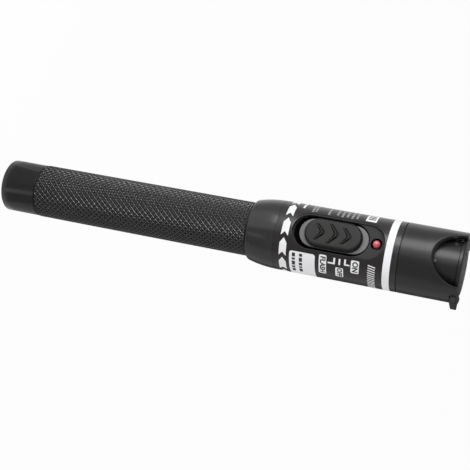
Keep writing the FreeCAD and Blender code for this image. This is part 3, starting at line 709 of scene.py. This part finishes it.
def word_faces(bm, word, angle, z, size):
    """Adds a word's flat letters, centred on an angle and a station, tops towards the port."""
    curve = bpy.data.curves.new("word", "FONT")
    curve.body = word
    curve.size = size
    curve.align_x = "CENTER"
    curve.align_y = "CENTER"
    curve.offset = LETTER_WEIGHT * size
    curve.resolution_u = 4
    thing = bpy.data.objects.new("word", curve)
    bpy.context.scene.collection.objects.link(thing)
    graph = bpy.context.evaluated_depsgraph_get()
    made = bpy.data.meshes.new_from_object(thing.evaluated_get(graph))
    made.transform(Matrix.Translation((round_the_pen(angle), z, 0)))
    bm.from_mesh(made)
    bpy.data.objects.remove(thing)
    bpy.data.curves.remove(curve)
    bpy.data.meshes.remove(made)


def make_dark_print():
    bm = bmesh.new()
    for word, word_angle, station, size in WORDS:
        word_faces(bm, word, word_angle, station, size)
    for z, lengths in DARK_ROWS:
        angle = DARK_ROW_START
        for length in lengths:
            flat_face(bm, box_outline(z, z + DARK_BAR_HEIGHT, angle, angle + length))
            angle += length + DARK_BAR_GAP
    for box in DARK_BOXES:
        flat_face(bm, box_outline(*box))
    bmesh.ops.translate(bm, vec=(0, 0, PRINT_HEIGHT), verts=bm.verts)
    print_piece("dark_print", bm, LETTER_HEIGHT - PRINT_HEIGHT, DARK_INK, None)


def make_grey_print():
    bm = bmesh.new()
    for index, z in enumerate(GREY_ROWS):
        angle = GREY_ROW_START - GREY_ROW_INDENT * (index % 2)
        for length in GREY_BLOCKS:
            flat_face(bm, box_outline(z, z + GREY_BLOCK_HEIGHT, angle - length, angle))
            angle -= length + GREY_BLOCK_GAP
    print_piece("grey_print", bm, PRINT_HEIGHT, GREY_INK, ["label_print"])


# ---- slide switch and indicator

def make_slider_plate():
    bm = prism(stadium(PLATE_LOW.z, PLATE_HIGH.z, PLATE_WIDTH), PLATE_LOW.y, -PLATE_BACK)
    bm = combined(bm, [lever_slot(-HEAD_RADIUS)])
    softened(bm, 0.15, above(-PLATE_LOW.y - 0.01))
    new_piece("slider_plate_shell", bm, PLATE_PLASTIC, "housing", ["slider_plate"])


KNOB_WIDTH = 9.9
KNOB_TOP = 12.05
KNOB_SEAT = 10.1
# The knob's three ridges: (station from its middle, half span, reach of the point)
RIDGES = ((-4.75, 2.9, 2.1), (-0.1, 3.55, 2.5), (4.45, 2.9, 2.1))
# How far the rear and the front side of a chevron stand from it, at its ends and at its point
RIDGE_SIDES = ((-0.35, -0.35), (0.0, 0.12))
GROOVE_SIDES = (((-0.65, -0.95), (-0.33, -0.33)), ((-0.02, 0.1), (0.45, 0.95)))
GROOVE_DEPTH = 0.75
RIDGE_HEIGHT = 0.25


def chevron(z, half_span, sweep, rear, front):
    """The (x, z) outline of a bent bar that points to the port, between two sides."""
    def side(at_ends, at_point):
        blunt = half_span * 0.2
        near = z + sweep * 0.92 + at_point
        return [(-half_span, z + at_ends), (-blunt, near), (0, z + sweep + at_point),
                (blunt, near), (half_span, z + at_ends)]
    return side(*rear) + side(*front)[::-1]


def make_slider_knob():
    bm = prism(stadium(KNOB_LOW.z, KNOB_HIGH.z, KNOB_WIDTH, 32), -KNOB_SEAT, -KNOB_TOP)
    softened(bm, 1.15, above(KNOB_TOP - 0.01), segments=7)
    ridges = []
    grooves = []
    for place, half_span, sweep in RIDGES:
        z = SWITCH_Z + place - sweep / 2
        ridge = prism(chevron(z, half_span - 0.3, sweep, *RIDGE_SIDES),
                      -(KNOB_TOP - GROOVE_DEPTH - 0.1), -(KNOB_TOP + RIDGE_HEIGHT))
        softened(ridge, 0.15, above(KNOB_TOP))
        ridges.append(ridge)
        for sides in GROOVE_SIDES:
            grooves.append(prism(chevron(z, half_span, sweep, *sides),
                                 -(KNOB_TOP - GROOVE_DEPTH), -(KNOB_TOP + 1)))
    bm = combined(bm, grooves)
    bm = combined(bm, ridges, "UNION")
    stem_width, stem_length = 2.6, 3.6
    stem = slab(-stem_width / 2, stem_width / 2, -(KNOB_SEAT + 0.2), KNOB_HIGH.y,
                SWITCH_Z - stem_length / 2, SWITCH_Z + stem_length / 2)
    bm = combined(bm, [stem], "UNION")
    new_piece("slider_knob_cap", bm, SOFT_RUBBER, "slider", ["slider_knob"])


def make_indicator():
    foot_radius, foot_top, foot_bottom = 1.8, 4.8, 4.0
    dome = arc(0, -LED_LOW.y - LENS_RADIUS, LENS_RADIUS, math.pi / 2, 0, 8)
    points = [(0, -LED_LOW.y)] + dome[1:] + [
        (LENS_RADIUS, foot_top), (foot_radius, foot_top), (foot_radius, foot_bottom),
        (0, foot_bottom)]
    bm = spun(bmesh.new(), [(x, -height, INDICATOR_Z) for x, height in points], axis=(0, 1, 0),
              centre=(0, 0, INDICATOR_Z), steps=48)
    new_piece("indicator_lens", tidied(bm), LED_EPOXY, "housing", ["indicator_led"])


# ---- nose, shroud and lid

NOSE_RADIUS = 8.9
SHROUD_BORE = 10.0
SCALLOP_HALF_WIDTH = 8.5
SCALLOP_DEPTH = 9.2
SCALLOP_ROUND = 1.3
RIM_ROUND = 0.4
HINGE_SLOT_HALF_WIDTH = 2.8
TAB_NOTCH_HALF_WIDTH = 4.3
SEAT_END = SHROUD_START + 7.6
LID_UNDERSIDE = FRONT - 1.1
HUB_UNDERSIDE = FRONT - 1.8
HUB_RADIUS = 5.3


def make_nose():
    radius, collar, joint, barrel, bush, flange = NOSE_RADIUS, 11.4, 8.52, 5.05, 3.05, 4.25
    barrel_end = NOSE_START + 14.4
    flange_z = BUSH_HIGH.z - 1.6
    nose_end, hub_floor, hub_wall = LID_UNDERSIDE - 0.1, HUB_UNDERSIDE - 0.35, HUB_RADIUS + 0.4
    bm = turned_shape([
        (barrel, NOSE_START), (joint, NOSE_START), (joint, HEAD_END), (collar, HEAD_END),
        (collar, SHROUD_START), (radius, SHROUD_START), (radius, nose_end, 0.2),
        (hub_wall, nose_end), (hub_wall, hub_floor), (flange, hub_floor), (flange, flange_z),
        (bush, flange_z), (bush, barrel_end), (barrel, barrel_end)])
    new_piece("nose_body", bm, ABS_SATIN, "housing", ["nose_holder"])


def shroud_outline():
    """The shroud's wall unrolled, from the middle of the hinge slot once round to it again."""
    slot_floor = PIN_Z - 1.3
    notch_floor = LID_LOW.z - 0.3
    slot = math.degrees(math.asin(HINGE_SLOT_HALF_WIDTH / HEAD_RADIUS))
    notch = math.degrees(math.asin(TAB_NOTCH_HALF_WIDTH / HEAD_RADIUS))
    points = [(-90, slot_floor), (-90 + slot, slot_floor), (-90 + slot, FRONT)]
    for centre in (0, 180):
        for step in range(49):
            turn = math.radians(-90 + 180 * step / 48)
            angle = math.degrees(math.asin(SCALLOP_HALF_WIDTH * math.sin(turn) / HEAD_RADIUS))
            points.append((centre + angle, FRONT - SCALLOP_DEPTH * math.cos(turn)))
        if centre == 0:
            points += [(90 - notch, FRONT), (90 - notch, notch_floor),
                       (90 + notch, notch_floor), (90 + notch, FRONT)]
    points += [(270 - slot, FRONT), (270 - slot, slot_floor), (270, slot_floor),
               (270, SHROUD_START), (-90, SHROUD_START)]
    return [(round_the_pen(angle), z) for angle, z in points]


def wall_angle(angle, radius):
    """The angle at which a wall cut straight through along Y comes out at another radius."""
    if radius <= SCALLOP_HALF_WIDTH:
        return angle
    side = round(angle / math.pi) * math.pi
    turn = angle - side
    x = HEAD_RADIUS * math.sin(turn)
    if abs(x) <= SCALLOP_HALF_WIDTH:
        return side + math.asin(x / radius)
    outer = math.asin(SCALLOP_HALF_WIDTH / HEAD_RADIUS)
    inner = math.asin(SCALLOP_HALF_WIDTH / radius)
    share = (abs(turn) - outer) / (math.pi / 2 - outer)
    return side + math.copysign(inner + (math.pi / 2 - inner) * share, turn)


def hinge_corner():
    """What comes off the front corner by the hinge, so that the lid's arm can swing."""
    size, half_width = 1.1, 5.6
    x, z = -(HEAD_RADIUS - size), FRONT - size
    return prism([(x, FRONT + 1)] + arc(x, z, size, math.pi / 2, math.pi, 8)
                 + [(OUTSIDE, z), (OUTSIDE, FRONT + 1)], -half_width, half_width)


def make_shroud():
    near = MERGE * 10
    ends = (round_the_pen(-90), round_the_pen(270))
    scallop_reach = round_the_pen(math.degrees(math.asin(SCALLOP_HALF_WIDTH / HEAD_RADIUS)))

    def on_end(part):
        return any(all(abs(vert.co.x - end) < near for vert in part.verts) for end in ends)

    def on_scallop(edge):
        level = all(vert.co.y > FRONT - near for vert in edge.verts)
        middle = (edge.verts[0].co.x + edge.verts[1].co.x) / 2
        return not level and any(abs(middle - round_the_pen(side)) < scallop_reach + 0.01
                                 for side in (0, 180))

    def on_outer_rim(edge):
        return all(abs(vert.co.z) < MERGE for vert in edge.verts) and not on_end(edge)

    bm = bmesh.new()
    extruded(bm, [flat_face(bm, shroud_outline())], (0, 0, SHROUD_BORE - HEAD_RADIUS))
    tidied(bm)
    softened(bm, SCALLOP_ROUND, lambda edge: on_outer_rim(edge) and on_scallop(edge), segments=6)
    softened(bm, RIM_ROUND, lambda edge: on_outer_rim(edge) and not on_scallop(edge), segments=6)
    cut_across(bm, (0, SEAT_END, 0), (0, 1, 0))
    seat = [face for face in bm.faces if face.calc_center_median().y < SEAT_END
            and all(vert.co.z < SHROUD_BORE - HEAD_RADIUS + near for vert in face.verts)]
    extruded(bm, seat, (0, 0, NOSE_RADIUS - SHROUD_BORE))
    bmesh.ops.delete(bm, geom=[face for face in bm.faces if on_end(face)], context="FACES")
    sliced(bm, 0.4)
    for vert in bm.verts:
        around, along, out = vert.co
        radius = HEAD_RADIUS + out
        turn = wall_angle(around / HEAD_RADIUS, radius)
        vert.co = (radius * math.sin(turn), -radius * math.cos(turn), along)
    bmesh.ops.remove_doubles(bm, verts=bm.verts, dist=near)
    tidied(bm)
    new_piece("shroud_shell", combined(bm, [hinge_corner()]), ABS_SATIN, "housing",
              ["front_shroud"])


def make_lid():
    radius, recess, recess_wall = 9.6, SEAL_HIGH.z, SEAL_HIGH.x + 0.05
    groove, width, floor = 5.0, 0.4, FRONT - 0.25
    root_start, tab_start, tab_half = 8.4, 9.2, 4.0
    knuckle_radius, knuckle_half, pin_hole = 1.0, 2.5, 0.45
    bm = turned_solid([
        (0, recess), (recess_wall, recess), (recess_wall, HUB_UNDERSIDE),
        (HUB_RADIUS, HUB_UNDERSIDE), (HUB_RADIUS, LID_UNDERSIDE), (radius, LID_UNDERSIDE),
        (radius, FRONT, 0.4), (groove + width / 2, FRONT), (groove + width / 2, floor),
        (groove - width / 2, floor), (groove - width / 2, FRONT), (0, FRONT)])
    tab = slab(tab_start, LID_HIGH.x, -tab_half, tab_half, LID_LOW.z, FRONT)
    softened(tab, 0.25, lambda edge: any(vert.co.x > tab_start + 0.1 for vert in edge.verts))
    root = slab(root_start, radius, -tab_half, tab_half, LID_UNDERSIDE, FRONT)
    knuckle = prism(circle(PIN_X, PIN_Z, knuckle_radius), -knuckle_half, knuckle_half)
    arm = slab(PIN_X, -root_start, -knuckle_half, knuckle_half, LID_UNDERSIDE,
               PIN_Z + knuckle_radius)
    bm = combined(bm, [root, tab, knuckle, arm], "UNION")
    drill = knuckle_half + 0.5
    bm = combined(bm, [prism(circle(PIN_X, PIN_Z, pin_hole, 24), -drill, drill)])
    new_piece("lid_cover", bm, ABS_SATIN, "lid", ["lid"])


make_tail_cap()
make_grip()
make_head_shell()
make_label_film()
make_white_print()
make_dark_print()
make_grey_print()
make_slider_plate()
make_slider_knob()
make_indicator()
make_nose()
make_shroud()
make_lid()


# ---- floor, studio cards, lamps and camera

FLOOR_GLOW = 0.95     # the share of the floor that is bare white; the rest takes the shadow
SKY_FILL = 0.55       # the backdrop's strength as a light, where it isn't looked at
# Places of the lamps' aim and of the camera, in metres
PEN_MIDDLE = Vector((0, 0, 0.09))
CAMERA_PLACE = Vector((0.1033, -0.3651, 0.2038))
CAMERA_RIGHT = Vector((-0.2539, 0.2257, 0.9405))
CAMERA_AIM = Vector((-0.2531, 0.9230, -0.2898))


def stage_piece(name, bm, material):
    mesh = bpy.data.meshes.new(name)
    bmesh.ops.scale(bm, vec=(METRE, METRE, METRE), verts=bm.verts)
    bm.to_mesh(mesh)
    bm.free()
    mesh.materials.append(material)
    thing = bpy.data.objects.new(name, mesh)
    bpy.context.scene.collection.objects.link(thing)
    return thing


def seen_rays(tree):
    """1 where the camera, a reflection or a view through glass looks, else 0."""
    path = add_node(tree, "ShaderNodeLightPath")
    seen = add_node(tree, "ShaderNodeMath", {"operation": "MAXIMUM"},
                    links={0: path.outputs["Is Camera Ray"], 1: path.outputs["Is Glossy Ray"]})
    return add_node(tree, "ShaderNodeMath", {"operation": "MAXIMUM"},
                    links={0: seen.outputs[0], 1: path.outputs["Is Transmission Ray"]}).outputs[0]


def white_floor():
    """A white sheet that keeps a faint shadow."""
    material, tree = new_material("white_floor_sheet")
    seen = seen_rays(tree)
    share = add_node(tree, "ShaderNodeMath", {"operation": "MULTIPLY"}, {1: FLOOR_GLOW},
                     {0: seen})
    paint = add_node(tree, "ShaderNodeBsdfDiffuse", inputs={"Color": rgba("#f0f0f0")})
    glow = add_node(tree, "ShaderNodeEmission", inputs={"Color": rgba("#ffffff"), "Strength": 1.0})
    both = add_node(tree, "ShaderNodeMixShader",
                    links={0: share.outputs[0], 1: paint.outputs[0], 2: glow.outputs[0]})
    add_node(tree, "ShaderNodeOutputMaterial", links={"Surface": both.outputs[0]})
    return material


def card_finish(name, hex_colour):
    material, tree = new_material(name)
    glow = add_node(tree, "ShaderNodeEmission", inputs={"Color": rgba(hex_colour)})
    add_node(tree, "ShaderNodeOutputMaterial", links={"Surface": glow.outputs[0]})
    return material


def studio_card(name, angle0, angle1, hex_colour, low=(12, 0.05), high=(420, 620)):
    """Adds a curved card that only reflections see, between two (radius, height) rims."""
    bm = bmesh.new()
    ends = [bm.verts.new((0, -radius, height)) for radius, height in (low, high)]
    edge = bm.edges.new(ends)
    bmesh.ops.rotate(bm, cent=(0, 0, 0), matrix=Matrix.Rotation(math.radians(angle0), 3, "Z"),
                     verts=ends)
    bmesh.ops.spin(bm, geom=[*ends, edge], axis=(0, 0, 1), cent=(0, 0, 0),
                   angle=math.radians(angle1 - angle0), steps=24, use_merge=False)
    card = stage_piece(name, bm, card_finish(name, hex_colour))
    card.visible_camera = False
    card.visible_diffuse = False
    card.visible_shadow = False
    card.visible_transmission = False


def area_lamp(name, angle, distance, height, size, watts, reflects=True):
    """Adds a soft lamp, with its place and size in metres, aimed at the pen's middle."""
    turn = math.radians(angle)
    lamp = bpy.data.lights.new(name, "AREA")
    lamp.shape = "RECTANGLE"
    lamp.size, lamp.size_y = size
    lamp.energy = watts
    thing = bpy.data.objects.new(name, lamp)
    place = Vector((distance * math.sin(turn), -distance * math.cos(turn), height))
    thing.location = place
    aim = PEN_MIDDLE - place
    thing.rotation_euler = aim.to_track_quat("-Z", "Y").to_euler()
    thing.visible_glossy = reflects
    bpy.context.scene.collection.objects.link(thing)


floor_mesh = bmesh.new()
bmesh.ops.create_grid(floor_mesh, x_segments=1, y_segments=1, size=9000)
stage_piece("floor", floor_mesh, white_floor())
studio_card("pale_card", -98, -58, "#c4c4c4")
studio_card("dark_card", 6, 72, "#7c7c7c")
studio_card("grey_card", 72, 142, "#bababa")
studio_card("far_dark_card", 142, 192, "#5e5e5e")
studio_card("low_dark_card", -54, 6, "#909090", high=(34, 22))
studio_card("hood_card", -58, 6, "#6b6b6b", low=(420, 260), high=(420, 620))
studio_card("lid_card", 192, 262, "#6b6b6b", low=(420, 200), high=(420, 620))
studio_card("ceiling_card", -180, 180, "#6b6b6b", low=(5, 640), high=(420, 620))
studio_card("low_strip", 27, 38, "#f0f0f0", low=(11.2, 0.3), high=(62.5, 79))

area_lamp("strip_softbox", -32, 0.30, 0.16, (0.16, 0.36), 0.7)
area_lamp("fill_lamp", 70, 0.9, 0.5, (0.6, 0.6), 3.0, reflects=False)

world = bpy.data.worlds.new("studio")
bpy.context.scene.world = world
world.use_nodes = True
world.node_tree.nodes.clear()
strength = add_node(world.node_tree, "ShaderNodeMapRange",
                    inputs={"To Min": SKY_FILL, "To Max": 1.0},
                    links={"Value": seen_rays(world.node_tree)})
backdrop = add_node(world.node_tree, "ShaderNodeBackground", inputs={"Color": rgba("#ffffff")},
                    links={"Strength": strength.outputs[0]})
add_node(world.node_tree, "ShaderNodeOutputWorld", links={"Surface": backdrop.outputs[0]})

camera_data = bpy.data.cameras.new("camera")
camera_data.lens = 86.3
camera_data.sensor_width = 36.0
camera_data.clip_start = 0.01
camera_data.clip_end = 50.0
camera = bpy.data.objects.new("camera", camera_data)
view = CAMERA_AIM.normalized()
up = CAMERA_RIGHT.cross(view).normalized()
right = view.cross(up).normalized()
camera.matrix_world = (Matrix.Translation(CAMERA_PLACE)
                       @ Matrix((right, up, -view)).transposed().to_4x4())
bpy.context.scene.collection.objects.link(camera)
bpy.context.scene.camera = camera
bpy.context.scene.view_settings.view_transform = "Standard"
